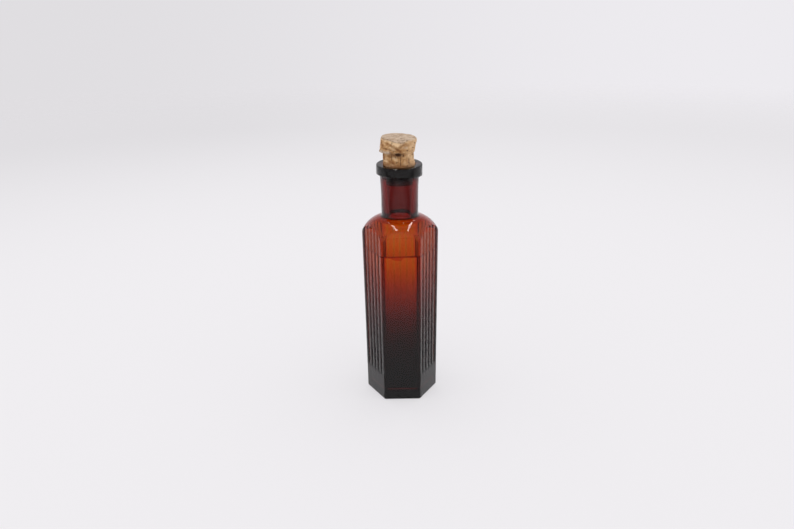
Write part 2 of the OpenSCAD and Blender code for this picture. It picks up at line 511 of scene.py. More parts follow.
@dataclass(frozen=True)
class OldLiquid:
    """A clear liquid whose colour darkens and reddens towards the foot."""

    tint: Colour = (0.9, 0.75, 0.5)
    density: float = 6.0
    open_ior: float = 1.06
    clear_z: float = 71.0
    fall: float = 0.02
    fall_more: float = 0.0014
    redden: Colour = (1.0, 2.0, 2.4)

    def material(self) -> bpy.types.Material:
        """Builds the material.

        Returns:
            The material, whose index is 1 where the liquid touches the glass.
        """
        made = bpy.data.materials.new("old_liquid")
        made.use_nodes = True
        graph = Graph(made.node_tree)
        height = graph.axis(graph.place(), "Z")
        depth = graph.math("MAXIMUM", graph.math("SUBTRACT", self.clear_z, height), 0.0)
        # Darker and redder the further below clear_z.
        darkening = graph.math("MULTIPLY", depth, graph.math("MULTIPLY_ADD", depth, self.fall_more, self.fall))
        parts = [graph.math("EXPONENT", graph.math("MULTIPLY", darkening, -share)) for share in self.redden]
        colour = graph.node("CombineColor", None, Red=parts[0], Green=parts[1], Blue=parts[2]).outputs[0]
        open_top = graph.math("GREATER_THAN", graph.attribute(Mark.OPEN), 0.5)
        index = graph.math("MULTIPLY_ADD", open_top, self.open_ior - 1.0, 1.0)
        shader = graph.node("BsdfPrincipled", None, Base_Color=colour, Roughness=0.0, IOR=index)
        shader.inputs["Transmission Weight"].default_value = 1.0
        volume = graph.node("VolumeAbsorption", None, Color=self.tint, Density=self.density)
        graph.node("OutputMaterial", None, Surface=shader.outputs[0], Volume=volume.outputs[0])
        return made


@dataclass(frozen=True)
class OldCork:
    """Dry, crumbling cork: tan, streaked and pitted, paler where it is broken and grey where it is worn,
    with painted light on its right side and painted shade above the lip, in its hollows and below its chip.
    """

    pale: Colour = rgb(236, 200, 156)
    tan: Colour = rgb(194, 147, 96)
    brown: Colour = rgb(146, 97, 54)
    pit: Colour = rgb(72, 38, 20)
    grey: Colour = rgb(206, 184, 162)
    worn: Colour = rgb(164, 136, 112)
    # Darker brown for just above the lip: partly stain, partly painted shade and painted reflection of the
    # dark glass.
    lip_stain_and_shade: Colour = rgb(150, 112, 76)
    lip_z: float = 115.65
    head_z: float = 121.2
    head_blur: float = 0.6
    lip_shade_rise: Span = (-0.5, 2.4)
    lip_shade_share: float = 0.5
    # Painted light: the cork is paler towards its right side, as if lit more from the right.
    painted_light_x: Span = (1.0, 7.5)
    painted_light_share: float = 0.55
    dark_most: float = 0.92
    relief_dark: float = -1.2
    relief_streak: float = 0.5
    crack_lines: tuple[Place, ...] = ((-3.5, 118.0, 121.0), (0.55, 115.6, 120.6), (4.4, 116.5, 119.0))
    crack_edge: Span = (0.06, 0.26)
    crack_wander: float = 0.8
    crack_share: float = 0.7

    def material(self) -> bpy.types.Material:
        """Builds the material.

        Returns:
            The material, patterned on Object coordinates.
        """
        made = bpy.data.materials.new("old_cork")
        made.use_nodes = True
        graph = Graph(made.node_tree)
        where = graph.place()
        height = graph.axis(where, "Z")
        mottle = graph.noise(graph.place((0.7, 0.7, 1.2)), 0.45, 3.0, 0.55)
        fine = graph.noise(where, 2.0, 5.0, 0.66)
        streak = graph.noise(graph.place((1.0, 1.0, 0.14)), 1.5, 3.0, 0.6)
        colour = graph.ramp(mottle, [(0.34, self.brown), (0.5, self.tan), (0.68, self.pale)])
        colour = graph.mix(graph.band(fine, 0.5, 0.72, 0.0, 0.4), colour, self.brown)
        waist = graph.band(height, self.head_z - self.head_blur, self.head_z + self.head_blur, 0.42, 0.1)
        colour = graph.mix(graph.math("MULTIPLY", graph.band(streak, 0.5, 0.66), waist), colour, self.brown)
        # Partly stain, partly painted shade from the lip and painted reflection of the dark glass: darker
        # brown multiplied in just above the lip.
        foot_z = (self.lip_z + rise for rise in self.lip_shade_rise)
        foot = graph.band(height, *foot_z, 1.0, 0.0)
        colour = graph.mix(graph.math("MULTIPLY", foot, self.lip_shade_share), colour, self.lip_stain_and_shade, "MULTIPLY")
        # Painted light: paler towards the right side, as if lit more from the right.
        bright = graph.band(graph.axis(where, "X"), *self.painted_light_x, 0.0, self.painted_light_share)
        colour = graph.mix(bright, colour, self.pale)
        smudge = graph.ramp(graph.noise(where, 0.5, 4.0, 0.6), [(0.36, self.worn), (0.6, self.grey)])
        colour = graph.mix(graph.attribute(Mark.AGED), colour, smudge)
        colour = graph.mix(graph.attribute(Mark.BREAK), colour, self.pale)
        pores = graph.cells(graph.place((1.0, 1.0, 0.6)), 0.62)
        pore = graph.math("MULTIPLY", graph.band(pores, 0.1, 0.24, 1.0, 0.0), graph.band(fine, 0.42, 0.56))
        crack = self.cracks(graph, where, height)
        # Pores and cracks, with the painted shade and stain of the hollows, darken the cork towards dark
        # brown.
        dark = graph.math("MAXIMUM", graph.math("MAXIMUM", pore, crack), graph.attribute(Mark.HOLLOW))
        colour = graph.mix(graph.math("MINIMUM", dark, self.dark_most), colour, self.pit)
        relief = graph.math("MULTIPLY_ADD", streak, self.relief_streak, fine)
        relief = graph.math("MULTIPLY_ADD", dark, self.relief_dark, relief)
        bump = graph.node("Bump", None, Height=relief, Strength=0.7, Distance=0.00035).outputs[0]
        shader = graph.node("BsdfPrincipled", None, Base_Color=colour, Roughness=0.88, Normal=bump)
        graph.node("OutputMaterial", None, Surface=shader.outputs[0])
        return made

    def cracks(self, graph: Graph, where: Value, height: Value) -> bpy.types.NodeSocket:
        """Draws the upright cracks of the waist, which wander a little from side to side.

        Args:
            graph: The material's node tree.
            where: The place in millimetres.
            height: Its height.

        Returns:
            How much crack there is at the place, 0 beside the cracks.
        """
        across = graph.axis(where, "X")
        front = graph.math("LESS_THAN", graph.axis(where, "Y"), 0.0)
        wander = graph.noise(graph.place((0.0, 0.0, 1.0)), 0.8, 2.0, 0.5)
        total = 0.0
        for spot, low, high in self.crack_lines:
            middle = graph.math("MULTIPLY_ADD", wander, self.crack_wander, spot - self.crack_wander / 2.0)
            off = graph.math("ABSOLUTE", graph.math("SUBTRACT", across, middle))
            line = graph.band(off, *self.crack_edge, 1.0, 0.0)
            top = graph.band(height, high - 0.5, high + 0.3, 1.0, 0.0)
            ends = graph.math("MULTIPLY", graph.band(height, low - 0.3, low + 0.5), top)
            total = graph.math("MAXIMUM", total, graph.math("MULTIPLY", line, ends))
        return graph.math("MULTIPLY", graph.math("MULTIPLY", total, front), self.crack_share)


@dataclass
class BodyForm:
    """The six-sided body, its ribs and its domed shoulder, outside and inside."""

    corner_r: float = 0.9
    panel_lean: float = 0.65
    wall_t: float = 1.3
    rib_count: int = 4
    rib_pitch: float = 3.15
    rib_depth: float = 0.6
    rib_side_w: float = 1.0
    rib_sink: float = 0.05
    crest_r: float = 4.9
    crest_w: float = 1.12
    groove_run: float = 0.4
    valley_round: float = 0.12
    band_h: float = 13.5
    shoulder_z: float = 83.8
    dome_r: float = 13.0
    neck_z: float = 91.2
    neck_r: float = 8.75
    inner_corner_fill: float = 0.25
    edge_round: float = 0.35
    inner_round: float = 0.8
    rib_stops: tuple[float, ...] = (0.0, 0.2, 0.45, 0.82, 1.2, 1.575, 1.95, 2.33, 2.7, 2.95)
    side_steps: int = 4
    margin_steps: int = 2
    corner_steps: int = 4
    wave: float = 0.035
    wave_z: Span = (2.0, 10.0)
    inner_wave: float = 0.09
    inner_wave_z: Span = (6.0, 16.0)

    def __post_init__(self) -> None:
        """Works the outline out from the glass node's box."""
        low, high = node_limits(Node.GLASS)
        self.lip_z = high.z
        self.corner_reach = (high.x - low.x) / 2.0
        self.half_turn = math.radians(180.0 / SIDES)
        self.half = self.corner_r + (self.corner_reach - self.corner_r) * math.cos(self.half_turn)
        self.sloped = self.rib_count * self.rib_pitch / 2.0 + self.rib_side_w
        self.flat = self.flat_at(self.half)
        chord_r = self.corner_reach - self.neck_r
        chord_z = self.neck_z - self.shoulder_z
        chord = math.hypot(chord_r, chord_z)
        drop = math.sqrt(self.dome_r ** 2 - chord ** 2 / 4.0)
        self.dome = ((self.corner_reach + self.neck_r) / 2.0 - drop * chord_z / chord,
                     (self.shoulder_z + self.neck_z) / 2.0 - drop * chord_r / chord)
        self.columns = [c for side in range(SIDES) for c in self.panel_columns(side)]

    def facing(self, side: int) -> float:
        """Gives the direction that a panel faces, in radians from the X axis."""
        return self.half_turn * (1 + 2 * side)

    def face_at(self, z: float) -> float:
        """Gives how far the panels' faces are from the axis at a height."""
        return self.half - self.panel_lean * (1.0 - z / self.shoulder_z)

    def flat_at(self, face: float) -> float:
        """Gives half the flat width of a panel whose face is this far from the axis."""
        return (face - self.corner_r) * math.tan(self.half_turn)

    def panel_columns(self, side: int) -> list[tuple[int, float, float]]:
        """Lists the columns of one panel.

        Args:
            side: The panel's number, counted from the one at 30 degrees.

        Returns:
            For each column its panel, its place along the panel and how far it is into the corner, from
            -1 to 1. The far corner's last column belongs to the next panel.
        """
        flat, sloped = self.flat, self.sloped
        ribbed = sloped - self.rib_side_w
        stops = spaced(-flat, -sloped, self.margin_steps) + spaced(-sloped, -ribbed, self.side_steps)
        for rib in range(self.rib_count):
            stops += [stop - ribbed + self.rib_pitch * rib for stop in self.rib_stops]
        stops += spaced(ribbed, sloped, self.side_steps) + spaced(sloped, flat, self.margin_steps)
        lead = [(side, -flat, -1.0 + i / self.corner_steps) for i in range(self.corner_steps)]
        tail = [(side, flat, i / self.corner_steps) for i in range(self.corner_steps)]
        return lead + [(side, u, 0.0) for u in stops] + tail

    def groove(self, side: int, along: float, z: float) -> float:
        """Gives the depth of the rib pattern.

        Args:
            side: The panel's number.
            along: The place along the panel.
            z: The height.

        Returns:
            How far the glass lies inside the panel's face.
        """
        if side == FRONT or z <= self.band_h:
            return 0.0
        ribbed = self.rib_count * self.rib_pitch / 2.0
        past = abs(along) - ribbed
        if past > 0.0:
            depth = self.rib_depth * max(1.0 - past / self.rib_side_w, 0.0)
        else:
            pitch = self.rib_pitch
            offset = abs((along + ribbed) % pitch - pitch / 2.0)
            depth = self.rib_sink + self.crest_r - math.sqrt(self.crest_r ** 2 - offset ** 2)
            share = max(offset - self.crest_w, 0.0) / (pitch / 2.0 - self.crest_w)
            depth += (self.rib_depth - depth) * share * (2.0 - share) ** 0.5
        depth = soft_min(depth, self.rib_depth - self.rib_sink, self.valley_round)
        return max(min(depth, (z - self.band_h) * self.groove_run), 0.0)

    def body_point(self, column: int, z: float, inset: float = 0.0) -> tuple[float, float]:
        """Gives a point of the body's outline at a height.

        Args:
            column: The column's number.
            z: The height.
            inset: How far the outline is drawn in, as at the heel.

        Returns:
            Its x and y.
        """
        side, along, corner = self.columns[column]
        turn = self.facing(side)
        out = self.face_at(z) - inset
        past = abs(along) - self.sloped
        groove = self.groove(side, along, z)
        if past > 0.0:
            shrink = (self.flat_at(out) - self.sloped) / (self.flat - self.sloped)
            along = math.copysign(self.sloped + past * shrink, along)
        out -= self.ripple(column, z)
        if corner:
            lean = self.half_turn * corner
            out += self.corner_r * (math.cos(lean) - 1.0)
            along += self.corner_r * math.sin(lean)
        else:
            out -= groove
        return (out * math.cos(turn) - along * math.sin(turn),
                out * math.sin(turn) + along * math.cos(turn))

    def ripple(self, column: int, z: float) -> float:
        """Gives how far the outside dips in slow waves, as old pressed glass does.

        Args:
            column: The column's number.
            z: The height.

        Returns:
            The depth of the dip.
        """
        side, along, corner = self.columns[column]
        wave = 0.5 + 0.3 * math.sin(z / 9.0 + 2.1 * side) + 0.2 * math.sin(along / 2.9 + z / 15.0 + side)
        return self.wave * wave * (1.0 - abs(corner)) * smooth_step(z, *self.wave_z)

    def dome_radius(self, z: float, inset: float = 0.0) -> float:
        """Gives the radius of the shoulder's arc at a height, drawn in by an inset."""
        reach = (self.dome_r - inset) ** 2 - (z - self.dome[1]) ** 2
        return self.dome[0] + math.sqrt(max(reach, 0.0))

    def outer(self, column: int, z: float) -> Place:
        """Gives a point of the outer surface, from the heel to the top of the shoulder's arc.

        Args:
            column: The column's number.
            z: The height.

        Returns:
            The point.
        """
        x, y = self.body_point(column, z)
        reach = math.hypot(x, y)
        if z > self.dome[1]:
            limit = soft_min(reach, self.dome_radius(z), self.edge_round)
            x, y = x * limit / reach, y * limit / reach
        return (x, y, z)

    def inner(self, column: int, z: float, gap: float = 0.0) -> tuple[float, float]:
        """Gives a point of the inner surface up to the top of its dome.

        Args:
            column: The column's number.
            z: The height.
            gap: How far the point stays off the glass.

        Returns:
            Its x and y.
        """
        x, y = self.body_point(column, 0.0)
        turn = math.atan2(y, x)
        side = self.columns[column][0]
        off = turn - self.facing(side)
        wave = math.sin(2.0 * turn + 0.9) * math.sin(z / 11.0 + 0.5) + 0.6 * math.sin(5.0 * turn - z / 7.0)
        wave *= self.inner_wave * smooth_step(z, *self.inner_wave_z)
        inner_half = self.face_at(z) - self.wall_t
        inner_reach = inner_half / math.cos(self.half_turn) - self.inner_corner_fill
        reach = soft_min(inner_half / math.cos(off), inner_reach, self.inner_round) - wave / 1.6
        if z > self.dome[1]:
            reach = soft_min(reach, self.dome_radius(z, self.wall_t), self.inner_round)
        reach -= gap
        return (reach * math.cos(turn), reach * math.sin(turn))


@dataclass
class PoisonBottle:
    """The glass, in one skin from the middle of the foot over the lip to the middle of the inner floor."""

    form: BodyForm
    finish: AmberGlass = field(default_factory=AmberGlass)
    heel_r: float = 0.9
    pushup_r: float = 11.0
    pushup_h: float = 1.1
    base_t: float = 4.4
    inner_heel_r: float = 3.4
    floor_rise: float = 0.5
    neck_fillet_r: float = 0.9
    collar_r: float = 10.8
    collar_h: float = 5.1
    collar_edge_r: float = 0.5
    collar_tip: float = 4.6
    collar_sag: float = 2.4
    neck_flare_h: float = 10.0
    neck_flare_w: float = 0.45
    throat_r: float = 5.4
    seat_depth: float = 10.4
    bore_r: float = 6.3
    mouth_r: float = 7.55
    mouth_h: float = 6.4
    mouth_bevel: float = 0.5
    bore_round: float = 1.3
    bend_z: float = 82.0
    round_z: float = 88.2
    neck_foot_z: float = 90.9
    inner_round_z: float = 87.9
    # Where the dark coat in the bore, partly cork residue and partly painted shade, fades in.
    residue_and_shade_z: Span = (107.0, 110.5)
    neck_stain_z: Span = (89.5, 92.0)
    dome_stain_z: Span = (83.0, 89.0)
    dome_stain: float = 0.45
    rib_film: float = 0.55
    back_film: float = 0.6
    film_depth: Span = (0.25, 0.5)
    drop_line: tuple[Span, ...] = (
        (-7.2, 0.0), (-5.0, 0.9), (-3.4, 1.9), (-1.0, 2.3), (0.6, 2.1), (1.5, 0.0))

    def __post_init__(self) -> None:
        """Works out where the collar starts and how far the inner floor reaches."""
        self.collar_z = self.form.lip_z - self.collar_h
        self.floor_reach = self.form.face_at(self.base_t) - self.form.wall_t

    def foot_rings(self) -> list[tuple[float, float]]:
        """Lists the radius and height of the rings in the hollow of the foot, from near the middle."""
        ball = (self.pushup_r ** 2 + self.pushup_h ** 2) / (2.0 * self.pushup_h)
        radii = [self.pushup_r * share for share in (0.06, 0.25, 0.45, 0.65, 0.82, 0.94)]
        return [(r, self.pushup_h - ball + math.sqrt(ball ** 2 - r ** 2)) for r in radii]

    def upper_rings(self) -> list[tuple[float, float]]:
        """Lists the round rings from the shoulder over the lip and down through the bore.

        Returns:
            The radius and the height of each ring.
        """
        form = self.form
        off = 0.96 * self.neck_fillet_r
        centre_r = form.neck_r + off
        centre_z = form.dome[1] + math.sqrt((form.dome_r + off) ** 2 - (centre_r - form.dome[0]) ** 2)
        lean = math.degrees(math.atan2(centre_z - form.dome[1], centre_r - form.dome[0]))
        collar_z = self.collar_z
        edge = self.collar_edge_r
        rings = [(form.dome_radius(z), z) for z in spaced(self.round_z, self.neck_foot_z, 9)]
        rings += arc_points((centre_r, centre_z), self.neck_fillet_r, 180.0 + lean, 180.0, 7)
        rings += [(form.neck_r, z) for z in spaced(centre_z + 0.5, collar_z - self.neck_flare_h, 6)]
        rings += [(form.neck_r + self.neck_flare_w * s ** 1.5, collar_z - self.neck_flare_h * (1.0 - s))
                  for s in (0.0, 0.2, 0.4, 0.6, 0.8, 0.95)]
        rings += arc_points((form.neck_r + self.neck_flare_w + 0.25, collar_z - 0.25), 0.25, 180.0, 90.0, 3)
        rings += arc_points((self.collar_r - edge, collar_z + edge), edge, -90.0, 0.0, 6)
        rings += [(self.collar_r, collar_z + self.collar_h * share) for share in (0.35, 0.5, 0.65)]
        rings += arc_points((self.collar_r - edge, form.lip_z - edge), edge, 0.0, 90.0, 6)
        bevel_r = self.mouth_r + self.mouth_bevel
        rings += [(r, form.lip_z) for r in spaced(self.collar_r - edge - 0.4, bevel_r + 0.2, 3)]
        rings += arc_points((bevel_r, form.lip_z - self.mouth_bevel), self.mouth_bevel, 90.0, 175.0, 4)
        flare_z = form.lip_z - self.mouth_h
        rings += [(self.bore_r + (self.mouth_r - self.bore_r) * (1 - s), form.lip_z - self.mouth_h * s)
                  for s in (0.2, 0.4, 0.6, 0.8, 1.0)]
        inner_r = form.dome_r - form.wall_t
        bend_r = self.throat_r + self.bore_round
        bend_z = form.dome[1] + math.sqrt((inner_r + self.bore_round) ** 2 - (bend_r - form.dome[0]) ** 2)
        lean = math.degrees(math.atan2(bend_z - form.dome[1], bend_r - form.dome[0]))
        seat_z = form.lip_z - self.seat_depth
        rings += [(self.bore_r, z) for z in spaced(flare_z - 1.0, seat_z, 3)]
        rings += [(self.bore_r + (self.throat_r - self.bore_r) * s, seat_z + (bend_z - seat_z) * s)
                  for s in spaced(0.0, 1.0, 8)]
        rings += arc_points((bend_r, bend_z), self.bore_round, 180.0, 180.0 + lean, 8)
        touch_r = form.dome[0] + inner_r * math.cos(math.radians(lean))
        return rings + [(form.dome_radius(z, form.wall_t), z) for z in (89.0, 88.8, 88.5, 88.1)
                        if form.dome_radius(z, form.wall_t) > touch_r]

    def build(self, waterline: Callable[[int], float]) -> bpy.types.Object:
        """Makes the glass.

        Args:
            waterline: Gives the height of the liquid's edge for a column.

        Returns:
            The dressed piece.
        """
        form = self.form
        loft = Loft("bottle_glass", len(form.columns))
        for mark in (Mark.WET, Mark.STAIN, Mark.FILM, Mark.DROP):
            loft.mark(mark)
        turns = [math.atan2(*reversed(form.body_point(c, 0.0))) for c in range(len(form.columns))]
        dry = {"WET": lambda c: -1.0, "STAIN": lambda c: 0.0}

        def round_ring(radius: float, z: float) -> Callable[[int], Place]:
            """Gives the points of a round ring."""
            return lambda c: self.tipped(radius * math.cos(turns[c]), radius * math.sin(turns[c]), z)

        for radius, z in self.foot_rings():
            loft.add_ring(round_ring(radius, z), **dry)
        loft.add_ring(round_ring(self.pushup_r + 0.6, 0.0), **dry)
        loft.add_ring(lambda c: (*form.body_point(c, 0.0, self.heel_r + 0.5), 0.0), **dry)
        for turn in spaced(0.0, 90.0, 7):
            lean = math.radians(turn)
            inset = self.heel_r * (1.0 - math.sin(lean))
            z = self.heel_r * (1.0 - math.cos(lean))
            loft.add_ring(lambda c: (*form.body_point(c, z, inset), z), **dry)
        heights = [self.heel_r, 2.0, 5.0, 9.0, 12.5]
        full_z = form.band_h + form.rib_depth / form.groove_run
        heights += spaced(form.band_h, full_z, 9)
        heights += spaced(full_z, self.bend_z, 24) + spaced(self.bend_z, self.round_z, 34)
        for z in heights:
            loft.add_ring(lambda c: form.outer(c, z), FILM=lambda c: self.film(c, z), **dry)
        for radius, z in self.upper_rings():
            inside = smooth_step(radius, self.mouth_r + 0.3, self.mouth_r)
            stain = max(smooth_step(z, *self.neck_stain_z), self.stain_at(z))
            # Above 1 the stain is the dark coat in the bore: partly cork residue, partly painted shade.
            stain = (stain + smooth_step(z, *self.residue_and_shade_z)) * inside
            loft.add_ring(round_ring(radius, z), WET=lambda c: -1.0, STAIN=lambda c: stain)
        inner_heights = spaced(self.inner_round_z, self.bend_z, 20)
        inner_heights += spaced(self.bend_z, self.base_t + self.inner_heel_r, 30)
        for z in inner_heights:
            loft.add_ring(lambda c: (*form.inner(c, z), z), WET=lambda c: waterline(c) - z,
                          STAIN=lambda c: self.stain_at(z), DROP=self.drop_depth)
        for shrink, z in self.floor_rings():
            loft.add_ring(lambda c: self.floor_point(c, shrink, z), WET=lambda c: waterline(c) - z,
                          STAIN=lambda c: 0.0)
        loft.close()
        loft.close_start()
        piece = loft.finish()
        piece.data.materials.append(self.finish.material())
        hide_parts(Node.GLASS.value)
        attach(piece, Body.BOTTLE.value)
        return piece

    def stain_at(self, z: float) -> float:
        """Gives how brown the inside of the shoulder is at a height."""
        return self.dome_stain * smooth_step(z, *self.dome_stain_z)

    def drop_depth(self, column: int) -> float:
        """Gives how far below the liquid's edge a clinging drop reaches, on the front panel alone."""
        side, along, corner = self.form.columns[column]
        return along_line(self.drop_line, along) if side == FRONT and not corner else -1.0

    def film(self, column: int, z: float) -> float:
        """Gives how much old dirt clings to the ribs at a place, most of it in the grooves.

        Args:
            column: The column's number.
            z: The height.

        Returns:
            The dirt's share, from 0 to 1.
        """
        form = self.form
        side, along, corner = form.columns[column]
        if side == FRONT or corner or z < form.band_h or z > form.shoulder_z + 1.0:
            return 0.0
        groove = smooth_step(form.groove(side, along, z), *self.film_depth)
        return groove * self.back_film if side == BACK else self.rib_film + (1.0 - self.rib_film) * groove

    def tipped(self, x: float, y: float, z: float) -> Place:
        """Moves a point of the neck up or down, for the crooked way the collar was finished by hand.

        Args:
            x: The point's x.
            y: Its y.
            z: Its height on an upright collar.

        Returns:
            The moved point.
        """
        top = smooth_step(z, self.collar_z + 0.6, self.form.lip_z - 0.4)
        under = smooth_step(z, self.collar_z - 3.0, self.collar_z) - top
        lift = y * math.tan(math.radians(self.collar_tip)) * top
        lift -= x * math.tan(math.radians(self.collar_sag)) * under
        return (x, y, z + lift)

    def floor_rings(self, gap: float = 0.0) -> list[tuple[float, float]]:
        """Lists the rings round the inner heel and over the inner floor.

        Args:
            gap: How far the rings stay off the glass.

        Returns:
            For each ring how far it is drawn in, and its height.
        """
        radius = self.inner_heel_r
        floor_z = self.base_t + gap
        leans = [math.radians(turn) for turn in spaced(0.0, 90.0, 8)]
        rings = [(radius * (1.0 - math.cos(t)), floor_z + radius * (1.0 - math.sin(t))) for t in leans]
        for share in (0.9, 0.7, 0.5, 0.3, 0.12, 0.03):
            inset = self.floor_reach - (self.floor_reach - radius) * share
            rings.append((inset, floor_z + self.floor_rise * (1.0 - share) ** 2))
        return rings

    def floor_point(self, column: int, shrink: float, z: float, gap: float = 0.0) -> Place:
        """Gives a point of the inner heel or floor.

        Args:
            column: The column's number.
            shrink: How far the point is drawn in towards the axis.
            z: The height.
            gap: How far the point stays off the glass.

        Returns:
            The point.
        """
        x, y = self.form.inner(column, self.base_t + self.inner_heel_r, gap)
        reach = math.hypot(x, y)
        share = max(reach - shrink, 0.2) / reach
        return (x * share, y * share, z)


@dataclass
class OldContents:
    """The liquid, a hair's breadth off the glass, with its surface drawn up at the edge."""

    bottle: PoisonBottle
    finish: OldLiquid = field(default_factory=OldLiquid)
    gap: float = 0.05
    climb: float = 0.55
    climb_w: float = 0.7
    uneven: float = 0.05
    edge_depth: float = 2.5

    def __post_init__(self) -> None:
        """Takes the surface's height from the liquid node."""
        self.level = node_limits(Node.LIQUID)[1].z

    def edge_height(self, column: int) -> float:
        """Gives the height at which the liquid meets the glass at a column."""
        x, _ = self.bottle.form.body_point(column, self.level)
        return self.level + self.climb + self.uneven * math.sin(x / 2.7)

    def build(self) -> bpy.types.Object:
        """Makes the liquid.

        Returns:
            The dressed piece.
        """
        bottle = self.bottle
        form = bottle.form
        loft = Loft("bottle_liquid", len(form.columns))
        loft.mark(Mark.OPEN)
        foot = bottle.base_t + bottle.inner_heel_r
        for shrink, z in reversed(bottle.floor_rings(self.gap)):
            loft.add_ring(lambda c: bottle.floor_point(c, shrink, z, self.gap), OPEN=lambda c: 0.0)
        top = self.level - self.edge_depth
        for z in spaced(foot, top, 30):
            loft.add_ring(lambda c: (*form.inner(c, z, self.gap), z), OPEN=lambda c: 0.0)
        for share in (0.0, 0.35, 0.7, 1.0):
            loft.add_ring(lambda c: self.wall_point(c, top, share), OPEN=lambda c: float(share == 1.0))
        for depth in (0.1, 0.25, 0.45, 0.7, 1.0, 1.5, 2.2, 3.2, 4.5, 7.0, 10.0, 12.5):
            loft.add_ring(lambda c: self.surface_point(c, depth), OPEN=lambda c: 1.0)
        loft.close()
        loft.close_start()
        piece = loft.finish()
        piece.data.materials.append(self.finish.material())
        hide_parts(Node.LIQUID.value)
        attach(piece, Body.BOTTLE.value)
        return piece

    def wall_point(self, column: int, top: float, share: float) -> Place:
        """Gives a point at the glass, between a height and the liquid's edge.

        Args:
            column: The column's number.
            top: The height.
            share: The share of the way up to the edge.

        Returns:
            The point.
        """
        z = top + (self.edge_height(column) - top) * share
        return (*self.bottle.form.inner(column, z, self.gap), z)

    def surface_point(self, column: int, depth: float) -> Place:
        """Gives a point of the open surface.

        Args:
            column: The column's number.
            depth: How far the point is in from the surface's edge.

        Returns:
            The point.
        """
        edge = self.edge_height(column)
        x, y = self.bottle.form.inner(column, edge, self.gap)
        reach = math.hypot(x, y)
        share = max(reach - depth, 0.3) / reach
        rise = (edge - self.level) * math.exp(-depth / self.climb_w)
        return (x * share, y * share, self.level + rise)


@dataclass(frozen=True)
class Dimple:
    """An oval hollow, seen from above (x and y) or from the front (x and z), and how dark it looks."""

    across: float
    up: float
    half_w: float
    half_h: float
    depth: float = 0.0
    dark: float = 0.0

    def at(self, across: float, up: float) -> float:
        """Gives the hollow's share at a place, 1 in its middle and 0 from its edge on."""
        return dent(math.hypot((across - self.across) / self.half_w, (up - self.up) / self.half_h))


def pit(across: float, up: float, size: float) -> Dimple:
    """Makes one of the small round pits in the side of the cork."""
    return Dimple(across, up, size, size, 0.4, 0.6)


